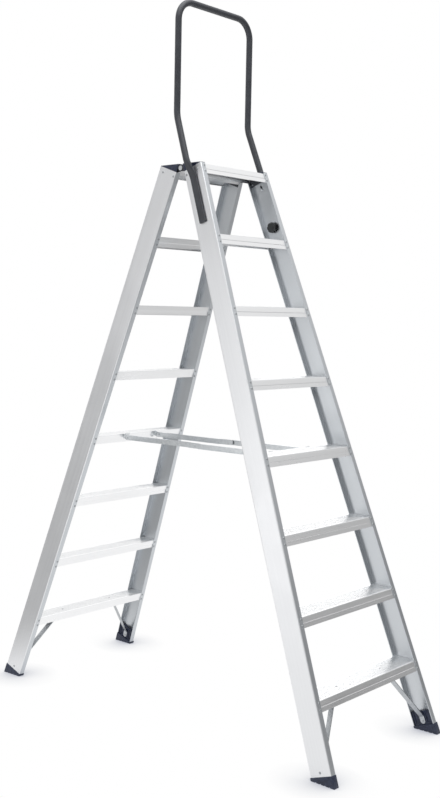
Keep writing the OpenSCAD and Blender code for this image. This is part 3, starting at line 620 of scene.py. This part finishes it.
# The camera and metal see a white floor, which dims for metal with its distance; matt surfaces see a matt one
def makeFloor(look):
    material, tree = emptyMaterial("studio_floor")
    place = addNode(tree, "ShaderNodeTexCoord").outputs["Object"]
    opened = addNode(tree, "ShaderNodeAmbientOcclusion", {"Distance": look["shadeReach"]},
                     samples=look["shadeSamples"]).outputs["AO"]
    clear = addNode(tree, "ShaderNodeMapRange", {"Value": opened, "From Min": look["shadeFull"]}).outputs[0]
    tone = addNode(tree, "ShaderNodeMix", {"Factor": clear, "A": hexColour(look["shade"]),
                   "B": hexColour(look["white"])}, data_type="RGBA").outputs["Result"]
    matt = addNode(tree, "ShaderNodeBsdfDiffuse", {"Color": hexColour(look["floorColour"])}).outputs[0]
    rays = addNode(tree, "ShaderNodeLightPath")
    mirrored = mirroredRay(tree, rays)
    depth = addNode(tree, "ShaderNodeSeparateXYZ", {0: place}).outputs["Y"]
    behind, before = (addNode(tree, "ShaderNodeMapRange", {"Value": depth, "From Min": start, "From Max": end,
                              "To Min": 1.0, "To Max": level}, interpolation_type="SMOOTHSTEP").outputs[0]
                      for start, end, level in (look["litBehind"], look["litBefore"]))
    lit = addNode(tree, "ShaderNodeMath", {0: behind, 1: before}, operation="MULTIPLY").outputs[0]
    strength = addNode(tree, "ShaderNodeMapRange", {"Value": mirrored, "To Min": 1.0,
                       "To Max": lit}).outputs[0]
    white = addNode(tree, "ShaderNodeEmission", {"Color": tone, "Strength": strength}).outputs[0]
    share = addNode(tree, "ShaderNodeMath", {0: rays.outputs["Is Camera Ray"], 1: mirrored},
                    operation="MAXIMUM").outputs[0]
    both = addNode(tree, "ShaderNodeMixShader", {0: share, 1: matt, 2: white}).outputs[0]
    addNode(tree, "ShaderNodeOutputMaterial", {"Surface": both})
    r = look["floorRadius"]
    mesh = bpy.data.meshes.new("studio_floor")
    mesh.from_pydata([(-r, -r, 0), (r, -r, 0), (r, r, 0), (-r, r, 0)], [], [(0, 1, 2, 3)])
    mesh.materials.append(material)
    floor = bpy.data.objects.new("studio_floor", mesh)
    bpy.context.scene.collection.objects.link(floor)


# The camera sees plain white. Metal sees white above and towards the backdrop, and a dimmer room low down
def makeWorld(look):
    world = bpy.data.worlds.new("studio")
    bpy.context.scene.world = world
    world.use_nodes = True
    tree = world.node_tree
    tree.nodes.clear()
    rays = addNode(tree, "ShaderNodeLightPath")
    way = addNode(tree, "ShaderNodeTexCoord").outputs["Generated"]
    aside, towards = (addNode(tree, "ShaderNodeVectorMath", {0: way, 1: look[k]},
                              operation="DOT_PRODUCT").outputs["Value"] for k in ("roomSide", "backdrop"))
    height = addNode(tree, "ShaderNodeSeparateXYZ", {0: way}).outputs["Z"]
    room = addNode(tree, "ShaderNodeMapRange", {
        "Value": aside, "From Min": look["roomFrom"], "From Max": look["roomTo"], "To Min": look["roomDim"],
        "To Max": look["roomPale"]}, interpolation_type="SMOOTHSTEP").outputs[0]
    back = addNode(tree, "ShaderNodeMapRange", {
        "Value": towards, "From Min": look["backdropFrom"], "From Max": look["backdropTo"], "To Min": room,
        "To Max": look["backdropLevel"]}, interpolation_type="SMOOTHSTEP").outputs[0]
    above = addNode(tree, "ShaderNodeMath", {0: back, 1: look["skyLevel"]}, operation="MAXIMUM").outputs[0]
    surround = addNode(tree, "ShaderNodeMapRange", {
        "Value": height, "From Min": look["skyFrom"], "From Max": look["skyTo"], "To Min": back,
        "To Max": above}, interpolation_type="SMOOTHSTEP").outputs[0]
    level = addNode(tree, "ShaderNodeMapRange", {"Value": mirroredRay(tree, rays),
                    "To Min": look["worldLevel"], "To Max": surround}).outputs[0]
    level = addNode(tree, "ShaderNodeMapRange", {"Value": rays.outputs["Is Camera Ray"], "To Min": level,
                    "To Max": 1.0}).outputs[0]
    ground = addNode(tree, "ShaderNodeBackground", {"Color": hexColour(look["white"]), "Strength": level})
    addNode(tree, "ShaderNodeOutputWorld", {"Surface": ground.outputs[0]})


def makeLamp(name, look):
    lamp = bpy.data.lights.new(name, "AREA")
    lamp.shape = "RECTANGLE"
    lamp.size, lamp.size_y = look["size"]
    lamp.energy = look["power"]
    lampObject = bpy.data.objects.new(name, lamp)
    place = Vector(look["place"])
    lampObject.location = place
    lampObject.rotation_euler = (Vector(look["aim"]) - place).to_track_quat("-Z", "Y").to_euler()
    lampObject.visible_camera = False
    bpy.context.scene.collection.objects.link(lampObject)


makeFloor(studio)
makeWorld(studio)
for lampName in ("topLamp", "leftLamp", "rightLamp"):
    makeLamp(lampName, studio[lampName])
bpy.context.scene.view_settings.view_transform = "Standard"
print("studio lit")

# Camera at the photograph's viewpoint
camera = {
    "place": (-2.884, -2.566, 1.373),
    "yaw": 41.21,      # degrees from +X towards +Y
    "pitch": -4.25,
    "roll": 0.90,
    "focalPixels": 1099.0,
    "frameHeight": 798.0,
    "sensor": 36.0,
}


def makeCamera(look):
    yaw, pitch, roll = (math.radians(look[k]) for k in ("yaw", "pitch", "roll"))
    ahead = Vector((math.cos(pitch) * math.cos(yaw), math.cos(pitch) * math.sin(yaw), math.sin(pitch)))
    level = Vector((math.sin(yaw), -math.cos(yaw), 0))
    up = level.cross(ahead)
    right = level * math.cos(roll) + up * math.sin(roll)
    turn = Matrix((right, right.cross(ahead), -ahead)).transposed()
    data = bpy.data.cameras.new("photo_camera")
    data.sensor_fit = "VERTICAL"
    data.sensor_height = look["sensor"]
    data.lens = look["focalPixels"] / look["frameHeight"] * look["sensor"]
    cameraObject = bpy.data.objects.new("photo_camera", data)
    cameraObject.matrix_world = Matrix.Translation(look["place"]) @ turn.to_4x4()
    bpy.context.scene.collection.objects.link(cameraObject)
    bpy.context.scene.camera = cameraObject


makeCamera(camera)
